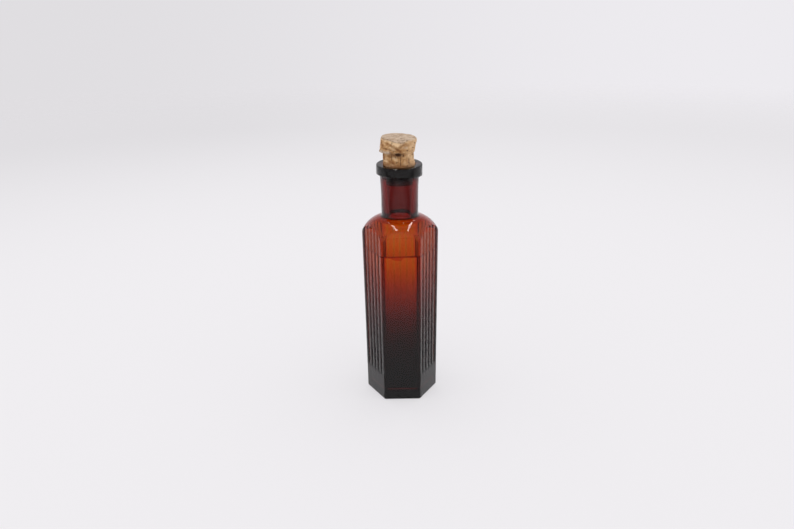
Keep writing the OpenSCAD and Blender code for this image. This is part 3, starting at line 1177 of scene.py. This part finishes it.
@dataclass
class WornCork:
    """The cork: straight in the bore, flared with the mouth, waisted above the lip, with a broken head."""

    form: BodyForm
    finish: OldCork = field(default_factory=OldCork)
    bore_r: float = 6.24
    seat_r: float = 7.49
    mouth_h: float = 6.4
    shank_ring_z: float = 107.5
    out_h: float = 12.4
    waist_r: float = 7.1
    waist_h: float = 3.0
    waist_shift: float = -0.4
    head_z: float = 121.3
    head_run: Span = (-0.5, 0.15)
    head_swell: float = 0.85
    under_r: float = 7.45
    head_r: float = 8.25
    edge: float = 0.55
    top_tilt: float = 4.0
    top_lean: float = 2.5
    top_drop: float = 0.12
    ledge_z: float = 121.2
    ledge_r: float = 7.95
    ledge_shift: float = 0.85
    ledge_top_r: float = 7.35
    ledge_run: Span = (-0.3, 0.15)
    ledge_turn: Span = (110.0, 128.0)
    grain: tuple[Place, ...] = ((0.1, 0.45, 0.45), (0.12, 0.5, 1.3), (0.07, 1.1, 1.1), (0.05, 2.3, 2.3))
    side_grain: float = 1.6
    top_grain: float = 0.5
    chip: tuple[Span, ...] = (
        (-7.8, 0.3), (-5.9, 0.6), (-4.6, 0.9), (-3.2, 1.5), (-1.8, 1.75), (-0.4, 1.95),
        (0.7, 1.3), (1.9, 0.75), (3.6, 0.5), (5.0, 0.35), (7.0, 0.25), (7.8, 0.1))
    chip_slope: float = 1.6
    chip_grain: tuple[Place, ...] = ((0.55, 1.5, 0.0), (0.33, 3.1, 3.0))
    dish: Dimple = Dimple(-0.6, -8.0, 5.2, 5.2, 1.1)
    top_pit: Dimple = Dimple(1.9, -5.6, 1.6, 0.9, 0.45)
    top_shadow: Dimple = Dimple(1.9, -5.6, 1.7, 0.8, 0.0, 0.55)
    # The dark of the hole, the hollow under the ledge, the fold and the pits is painted shade, partly brown
    # stain.
    hole: Dimple = Dimple(-0.35, 120.75, 1.9, 0.95, 1.2, 0.85)
    under: Dimple = Dimple(-1.2, 120.4, 6.0, 2.1, 0.5, 0.62)
    fold_at: Span = (-6.85, 123.5)
    fold_fall: float = 0.2
    fold_h: float = 0.45
    fold_start: Span = (-8.4, -6.6)
    fold_end: Span = (-2.4, -0.9)
    fold_depth: float = 0.28
    fold_dark: float = 0.4
    # Painted shadow: a dark band on the side below the chip, with no dent.
    chip_shadow_drop: float = 1.7
    chip_shadow_h: float = 0.9
    chip_shadow_dark: float = 0.4
    pits: tuple[Dimple, ...] = (
        pit(-6.75, 127.3, 0.55), pit(-3.3, 126.0, 0.7), pit(6.1, 120.2, 0.6), pit(3.5, 127.0, 0.5),
        pit(-7.1, 119.9, 0.5), pit(6.4, 123.6, 0.45))
    smear: Dimple = Dimple(2.9, 124.0, 1.6, 0.9, 0.0, 0.6)
    grey_z: float = 121.7
    grey_h: float = 1.3
    grey_left: Span = (3.4, 5.0)
    rim_pale: float = 0.55
    # Painted shadow along the upper edge of the chip.
    chip_edge_shadow: float = 0.45
    columns: int = 260
    side_rings: int = 62

    def __post_init__(self) -> None:
        """Takes the cork's foot from its node, and its other heights from the lip."""
        self.foot_z = node_limits(Node.CORK)[0].z
        self.top_z = self.form.lip_z + self.out_h
        self.waist_z = self.form.lip_z + self.waist_h

    def turn(self, column: int) -> float:
        """Gives a column's direction, in radians from the X axis."""
        return math.tau * column / self.columns

    def rough(self, x: float, y: float, z: float) -> float:
        """Gives the crumbly unevenness of the surface at a place."""
        return sum(amount * noise.noise(Vector((x * across, y * across, z * up)))
                   for amount, across, up in self.grain)

    def chip_drop(self, x: float, y: float) -> float:
        """Gives how far the chip at the front takes the top down.

        Args:
            x: The place's x.
            y: Its y.

        Returns:
            The drop, 0 outside the chip.
        """
        inward = self.head_r - math.hypot(x, y)
        drop = along_line(self.chip, x) - self.chip_slope * inward
        if y > 0.0 or drop <= 0.0:
            return 0.0
        crumble = sum(amount * noise.noise(Vector((x, y, z)) * scale)
                      for amount, scale, z in self.chip_grain)
        return drop + crumble * min(drop, 1.0)

    def top_height(self, x: float, y: float) -> float:
        """Gives the height of the top.

        Args:
            x: The place's x.
            y: Its y.

        Returns:
            The height there.
        """
        plane = self.top_z - self.top_drop
        plane += y * math.tan(math.radians(self.top_tilt)) - x * math.tan(math.radians(self.top_lean))
        dip = sum(hollow.depth * hollow.at(x, y) for hollow in (self.top_pit, self.dish))
        return plane - self.chip_drop(x, y) - dip + self.top_grain * self.rough(x, y, 0.0)

    def ledge(self, turn: float, z: float) -> float:
        """Gives the reach of the ledge on the left.

        Args:
            turn: The direction, in radians.
            z: The height.

        Returns:
            The radius that the ledge reaches, or 0 where there is none.
        """
        share = (z - self.ledge_z) / (self.top_z - self.ledge_z)
        radius = self.ledge_r + (self.ledge_top_r - self.ledge_r) * share
        across = -self.ledge_shift * math.cos(turn)
        reach = across + math.sqrt(max(radius ** 2 - (self.ledge_shift * math.sin(turn)) ** 2, 0.0))
        lip = smooth_step(z - self.ledge_z, *self.ledge_run)
        from_right = math.degrees(abs(math.atan2(math.sin(turn), math.cos(turn))))
        return reach * lip * smooth_step(from_right, *self.ledge_turn)

    def reach(self, turn: float, z: float) -> float:
        """Gives the radius of the side above the lip, before its unevenness.

        Args:
            turn: The direction, in radians.
            z: The height.

        Returns:
            The radius.
        """
        waist = self.seat_r + (self.waist_r - self.seat_r) * smooth_step(z, self.form.lip_z, self.waist_z)
        share = max((z - self.head_z) / (self.top_z - self.head_z), 0.0)
        head = self.under_r + (self.head_r - self.under_r) * share ** self.head_swell
        step = smooth_step(z - self.head_z, *self.head_run)
        return max(waist + (head - waist) * step, self.ledge(turn, z))

    def wear(self, x: float, y: float, z: float) -> tuple[float, float]:
        """Reads the hollows and folds in the front of the side.

        Args:
            x: The place's x.
            y: Its y.
            z: Its height.

        Returns:
            How deep the side is hollowed there, and how dark it is painted: painted shade in the hollows
            and below the chip, partly brown stain.
        """
        if y > 0.0:
            return 0.0, 0.0
        fold_z = self.fold_at[1] - self.fold_fall * (x - self.fold_at[0])
        fold = dent((z - fold_z) / self.fold_h)
        fold *= smooth_step(x, *self.fold_start) * (1.0 - smooth_step(x, *self.fold_end))
        dish = self.dish.depth * dent((x - self.dish.across) / self.dish.half_w)
        # Painted shadow below the chip: it only darkens the side.
        chip_shadow_z = self.top_z - self.chip_shadow_drop - along_line(self.chip, x) - dish
        chip_shadow = dent((z - chip_shadow_z) / self.chip_shadow_h) * dent((x - self.under.across) / self.under.half_w)
        deepest = max(self.pits, key=lambda one: one.at(x, z))
        # The dark of the fold, the hole, the hollow under the ledge and the pits is painted shade, partly
        # brown stain.
        depth, dark = self.fold_depth * fold, self.fold_dark * fold + self.chip_shadow_dark * chip_shadow
        for hollow in (self.hole, self.under, deepest):
            depth += hollow.depth * hollow.at(x, z)
            dark += hollow.dark * hollow.at(x, z)
        return depth, min(dark, 1.0)

    def greyness(self, x: float, y: float, z: float) -> float:
        """Gives how grey and worn the skin is: on the top, on the ledge and in a smear at the front.

        Args:
            x: The place's x.
            y: Its y.
            z: Its height.

        Returns:
            The grey's share, from 0 to 1.
        """
        top = smooth_step(z - self.top_height(x, y), -0.5, -0.15)
        strip = dent((z - self.grey_z) / self.grey_h) * smooth_step(-x, *self.grey_left)
        smear = self.smear.dark * self.smear.at(x, z) * (y < 0.0)
        return max(0.85 * top, 0.9 * strip, smear)

    def side_point(self, column: int, z: float) -> Place:
        """Gives a point of the side above the lip.

        Args:
            column: The column's number.
            z: The height.

        Returns:
            The point.
        """
        turn = self.turn(column)
        reach = self.reach(turn, z)
        x, y = reach * math.cos(turn), reach * math.sin(turn)
        free = smooth_step(z - self.form.lip_z, 0.2, 1.2)
        reach += (self.rough(x, y, z) * self.side_grain - self.wear(x, y, z)[0]) * free
        shift = self.waist_shift * smooth_step(z, self.form.lip_z, self.waist_z)
        shift *= 1.0 - smooth_step(z, self.waist_z, self.top_z)
        return (reach * math.cos(turn) + shift, reach * math.sin(turn), z)

    def rim_height(self, column: int) -> float:
        """Gives the height where the side starts to round over into the top."""
        turn = self.turn(column)
        return self.top_height(self.head_r * math.cos(turn), self.head_r * math.sin(turn)) - self.edge

    def top_point(self, column: int, share: float, sink: float = 0.0) -> Place:
        """Gives a point of the top.

        Args:
            column: The column's number.
            share: The share of the way out from the middle.
            sink: How far the point lies under the top, as at its rounded edge.

        Returns:
            The point.
        """
        x, y, _ = self.side_point(column, self.rim_height(column))
        return (x * share, y * share, self.top_height(x * share, y * share) - sink)

    def shank_rings(self) -> list[tuple[float, float]]:
        """Lists the round rings from near the middle of the cork's foot up to the lip.

        Returns:
            The radius and the height of each ring.
        """
        lip, bore = self.form.lip_z, self.bore_r
        rings = [(radius, self.foot_z) for radius in (0.3, 1.5, 3.0, 4.5, bore - self.edge)]
        rings += [(bore, z) for z in (self.foot_z + self.edge, self.shank_ring_z, lip - self.mouth_h)]
        return rings + [(bore + (self.seat_r - bore) * s, lip - self.mouth_h * (1.0 - s))
                        for s in (0.35, 0.7, 1.0)]

    def build(self) -> bpy.types.Object:
        """Makes the cork.

        Returns:
            The dressed piece.
        """
        loft = Loft("bottle_cork", self.columns)
        for mark in (Mark.BREAK, Mark.HOLLOW, Mark.AGED):
            loft.mark(mark)
        for radius, z in self.shank_rings():
            self.add_ring(loft, lambda c: (radius * math.cos(self.turn(c)),
                                           radius * math.sin(self.turn(c)), z))
        for z in spaced(self.form.lip_z + 0.25, self.waist_z, 12):
            self.add_ring(loft, lambda c: self.side_point(c, z))
        for share in spaced(0.0, 1.0, self.side_rings) + [1.0]:
            self.add_ring(loft, lambda c: self.side_point(
                c, self.waist_z + (self.rim_height(c) - self.waist_z) * share))
        for share, sink in ((0.992, 0.3), (0.975, 0.12), (0.95, 0.03)):
            self.add_ring(loft, lambda c: self.top_point(c, share, sink))
        for share in spaced(0.92, 0.02, 26):
            self.add_ring(loft, lambda c: self.top_point(c, share))
        loft.close()
        loft.close_start()
        piece = loft.finish()
        piece.data.materials.append(self.finish.material())
        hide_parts(Node.CORK.value)
        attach(piece, Body.STOPPER.value)
        return piece

    def add_ring(self, loft: Loft, place: Callable[[int], Place]) -> None:
        """Adds a ring with the wear marks of its points.

        Args:
            loft: The cork's skin.
            place: Gives the point of each column.
        """
        points = [place(column) for column in range(self.columns)]
        marks = [self.marks_at(*point) for point in points]
        loft.add_ring(lambda c: points[c], BREAK=lambda c: marks[c][0], HOLLOW=lambda c: marks[c][1],
                      AGED=lambda c: marks[c][2])

    def marks_at(self, x: float, y: float, z: float) -> tuple[float, float, float]:
        """Reads the marks of wear and of painted shade.

        Args:
            x: The place's x.
            y: Its y.
            z: Its height.

        Returns:
            How broken, how dark with painted shade and stain, and how grey the skin is there, each from 0
            to 1.
        """
        if z < self.form.lip_z + 0.2:
            return 0.0, 0.0, 0.0
        below_top = z - self.top_height(x, y)
        near_top = smooth_step(below_top, -0.75, -0.45)
        drop = self.chip_drop(x, y)
        # Painted shadow along the chip's upper edge, and the top's painted shadow beside its pit.
        start = self.chip_edge_shadow * dent((drop - 0.1) / 0.25) * (drop > 0.0)
        start = max(start, self.top_shadow.dark * self.top_shadow.at(x, y)) * near_top
        broken = smooth_step(self.chip_drop(x * 0.985, y * 0.985), 0.05, 0.5) * near_top
        rim = self.rim_pale * near_top * (1.0 - smooth_step(below_top, -0.35, -0.1))
        return max(broken, rim), max(self.wear(x, y, z)[1], start), self.greyness(x, y, z) * (1.0 - broken)


@dataclass
class Studio:
    """A white paper sweep under soft light from all round."""

    floor_r: float = 2600.0
    fade_from: float = 900.0
    fade_to: float = 2200.0
    # Painted shade on the paper: palest near the bottle, darker far off and to the left; the world shows
    # the left and right colours too.
    near: Colour = rgb(240, 238, 241)
    far: Colour = rgb(230, 228, 231)
    left: Colour = rgb(224, 222, 225)
    right: Colour = rgb(237, 235, 239)
    glow: float = 0.6
    side_x: Span = (-420.0, 160.0)
    near_r: Span = (180.0, 1100.0)
    ceiling: Colour = rgb(150, 146, 148)
    ceiling_rise: Span = (0.15, 0.6)
    ceiling_side: Span = (0.4, 0.7)
    wall_side: Span = (-0.5, 0.45)
    shade: Colour = rgb(158, 154, 156)
    shade_far: Span = (-340.0, -240.0)
    shade_near: Span = (-210.0, -120.0)
    lamp_z: float = 1000.0
    lamp_w: float = 75.0
    lamps: tuple[tuple[float, ...], ...] = (
        (-246.0, 546.0, -109.0, -428.0, 11.0), (264.0, 1046.0, 294.0, -410.0, 11.0),
        (-15.0, 1900.0, -86.0, 373.0, 10.0), (105.0, 1290.0, 146.0, 364.0, 10.0),
        (-68.0, 1775.0, -15.0, 1900.0, 9.0), (73.0, 1440.0, 260.0, 1240.0, 9.0))
    sky_low: float = 0.76
    sky_rise: float = 0.36

    def build(self) -> None:
        """Makes the floor and the world's light."""
        self.make_floor()
        self.make_world()
        for lamp in self.lamps:
            self.make_lamp(*lamp)

    def seen(self, graph: Graph) -> bpy.types.NodeSocket:
        """Gives 1 for rays that look at something, also by way of gloss or glass, and 0 for light."""
        path = graph.node("LightPath")
        total = graph.math("ADD", path.outputs["Is Camera Ray"], path.outputs["Is Glossy Ray"])
        return graph.math("ADD", total, path.outputs["Is Transmission Ray"], clamp=True)

    def mirrored(self, graph: Graph) -> bpy.types.NodeSocket:
        """Gives 0 for rays straight from the camera, and 1 for all others."""
        return graph.math("SUBTRACT", 1.0, graph.node("LightPath").outputs["Is Camera Ray"])

    def make_floor(self) -> None:
        """Makes a round floor that melts into the backdrop far from the bottle."""
        mesh = bmesh.new()
        bmesh.ops.create_circle(mesh, cap_ends=True, radius=self.floor_r * MM, segments=96)
        bmesh.ops.translate(mesh, verts=mesh.verts, vec=(0.0, 0.0, -0.0001))
        data = bpy.data.meshes.new("paper_floor")
        mesh.to_mesh(data)
        mesh.free()
        floor = bpy.data.objects.new("paper_floor", data)
        bpy.context.scene.collection.objects.link(floor)
        made = bpy.data.materials.new("white_paper")
        made.use_nodes = True
        graph = Graph(made.node_tree)
        where = graph.place()
        reach = graph.node("VectorMath", {"operation": "LENGTH"}, Vector=where).outputs["Value"]
        # Painted shade: the paper is darker to the left and away from the bottle, as the light falls off.
        back = graph.mix(graph.band(graph.axis(where, "X"), *self.side_x), self.left, self.far)
        colour = graph.mix(graph.band(reach, *self.near_r), self.near, back)
        front = graph.axis(where, "Y")
        shaded = graph.math("MULTIPLY", graph.band(front, *self.shade_near, 1.0, 0.0),
                            graph.band(front, *self.shade_far))
        colour = graph.mix(graph.math("MULTIPLY", shaded, self.mirrored(graph)), colour, self.shade)
        paper = graph.node("BsdfDiffuse", None, Color=colour)
        light = graph.node("Emission", None, Color=colour, Strength=1.0)
        shown = graph.blend(graph.math("MULTIPLY", self.seen(graph), self.glow), paper, light)
        clear = graph.node("BsdfTransparent")
        faded = graph.blend(graph.band(reach, self.fade_from, self.fade_to), shown, clear)
        graph.node("OutputMaterial", None, Surface=faded.outputs[0])
        data.materials.append(made)

    def make_lamp(self, start_x: float, start_y: float, end_x: float, end_y: float, glare: float) -> None:
        """Hangs a thin tube of light overhead, which only shows as a glint on the glass.

        Args:
            start_x: The x of its one end, in millimetres from the bottle's axis.
            start_y: The y of that end.
            end_x: The x of its other end.
            end_y: The y of that end.
            glare: How bright it looks.
        """
        length = math.hypot(end_x - start_x, end_y - start_y)
        data = bpy.data.lights.new("glint_tube", "AREA")
        data.shape = "RECTANGLE"
        data.size = length * MM
        data.size_y = self.lamp_w * MM
        data.energy = glare * math.pi * data.size * data.size_y
        lamp = bpy.data.objects.new("glint_tube", data)
        bpy.context.scene.collection.objects.link(lamp)
        lamp.location = Vector(((start_x + end_x) / 2.0, (start_y + end_y) / 2.0, self.lamp_z)) * MM
        lamp.rotation_euler = (0.0, 0.0, math.atan2(end_y - start_y, end_x - start_x))
        lamp.visible_camera = False
        lamp.visible_diffuse = False
        lamp.visible_transmission = False

    def make_world(self) -> None:
        """Makes a world that shows the backdrop and lights the scene a little more from above."""
        world = bpy.data.worlds.new("studio")
        bpy.context.scene.world = world
        world.use_nodes = True
        graph = Graph(world.node_tree)
        way = graph.node("TexCoord").outputs["Generated"]
        colour = graph.mix(graph.band(graph.axis(way, "X"), *self.wall_side), self.left, self.right)
        beside = graph.band(graph.math("ABSOLUTE", graph.axis(way, "X")), *self.ceiling_side, 1.0, 0.0)
        over = graph.math("MULTIPLY", graph.band(graph.axis(way, "Z"), *self.ceiling_rise), beside)
        over = graph.math("MULTIPLY", over, self.mirrored(graph))
        colour = graph.mix(over, colour, self.ceiling)
        shown = graph.node("Background", None, Color=colour, Strength=1.0)
        height = graph.math("MAXIMUM", graph.axis(way, "Z"), 0.0)
        level = graph.math("MULTIPLY_ADD", height, self.sky_rise, self.sky_low)
        light = graph.node("Background", None, Color=(1.0, 1.0, 1.0), Strength=level)
        both = graph.blend(self.seen(graph), light, shown)
        graph.node("OutputWorld", None, Surface=both.outputs[0])


@dataclass
class PhotoCamera:
    """The camera where the photograph was taken from, in millimetres and degrees."""

    height: float = 173.17
    distance: float = 307.45
    focal_px: float = 667.08
    width_px: float = 794.0
    pitch: float = 19.216
    roll: float = -0.842
    pan: float = -0.32
    yaw: float = -0.55

    def build(self) -> bpy.types.Object:
        """Makes the camera and sets it as the scene's.

        Returns:
            The camera.
        """
        data = bpy.data.cameras.new("photo_camera")
        data.sensor_width = 36.0
        data.lens = self.focal_px / self.width_px * data.sensor_width
        data.clip_start = 0.01
        data.clip_end = 20.0
        camera = bpy.data.objects.new("photo_camera", data)
        bpy.context.scene.collection.objects.link(camera)
        spin = Matrix.Rotation(math.radians(self.yaw), 4, "Z")
        place = Matrix.Translation(Vector((0.0, -self.distance, self.height)) * MM)
        turn = (Matrix.Rotation(math.radians(-self.pan), 4, "Z")
                @ Matrix.Rotation(math.radians(90.0 - self.pitch), 4, "X")
                @ Matrix.Rotation(math.radians(self.roll), 4, "Z"))
        camera.matrix_world = spin @ place @ turn
        bpy.context.scene.camera = camera
        return camera


def set_up_render() -> None:
    """Sets the view transform and lets light pass through all the walls of glass."""
    scene = bpy.context.scene
    scene.view_settings.view_transform = "Standard"
    scene.cycles.max_bounces = 32
    scene.cycles.transmission_bounces = 32
    scene.cycles.glossy_bounces = 16
    scene.cycles.transparent_max_bounces = 16


def main() -> None:
    """Builds the scene piece by piece."""
    logging.basicConfig(level=logging.INFO, format="%(message)s")
    set_up_render()
    PhotoCamera().build()
    Studio().build()
    form = BodyForm()
    bottle = PoisonBottle(form)
    contents = OldContents(bottle)
    for piece in (bottle.build(contents.edge_height), contents.build(), WornCork(form).build()):
        LOG.info("%s: %d faces", piece.name, len(piece.data.polygons))


if __name__ == "__main__":
    main()
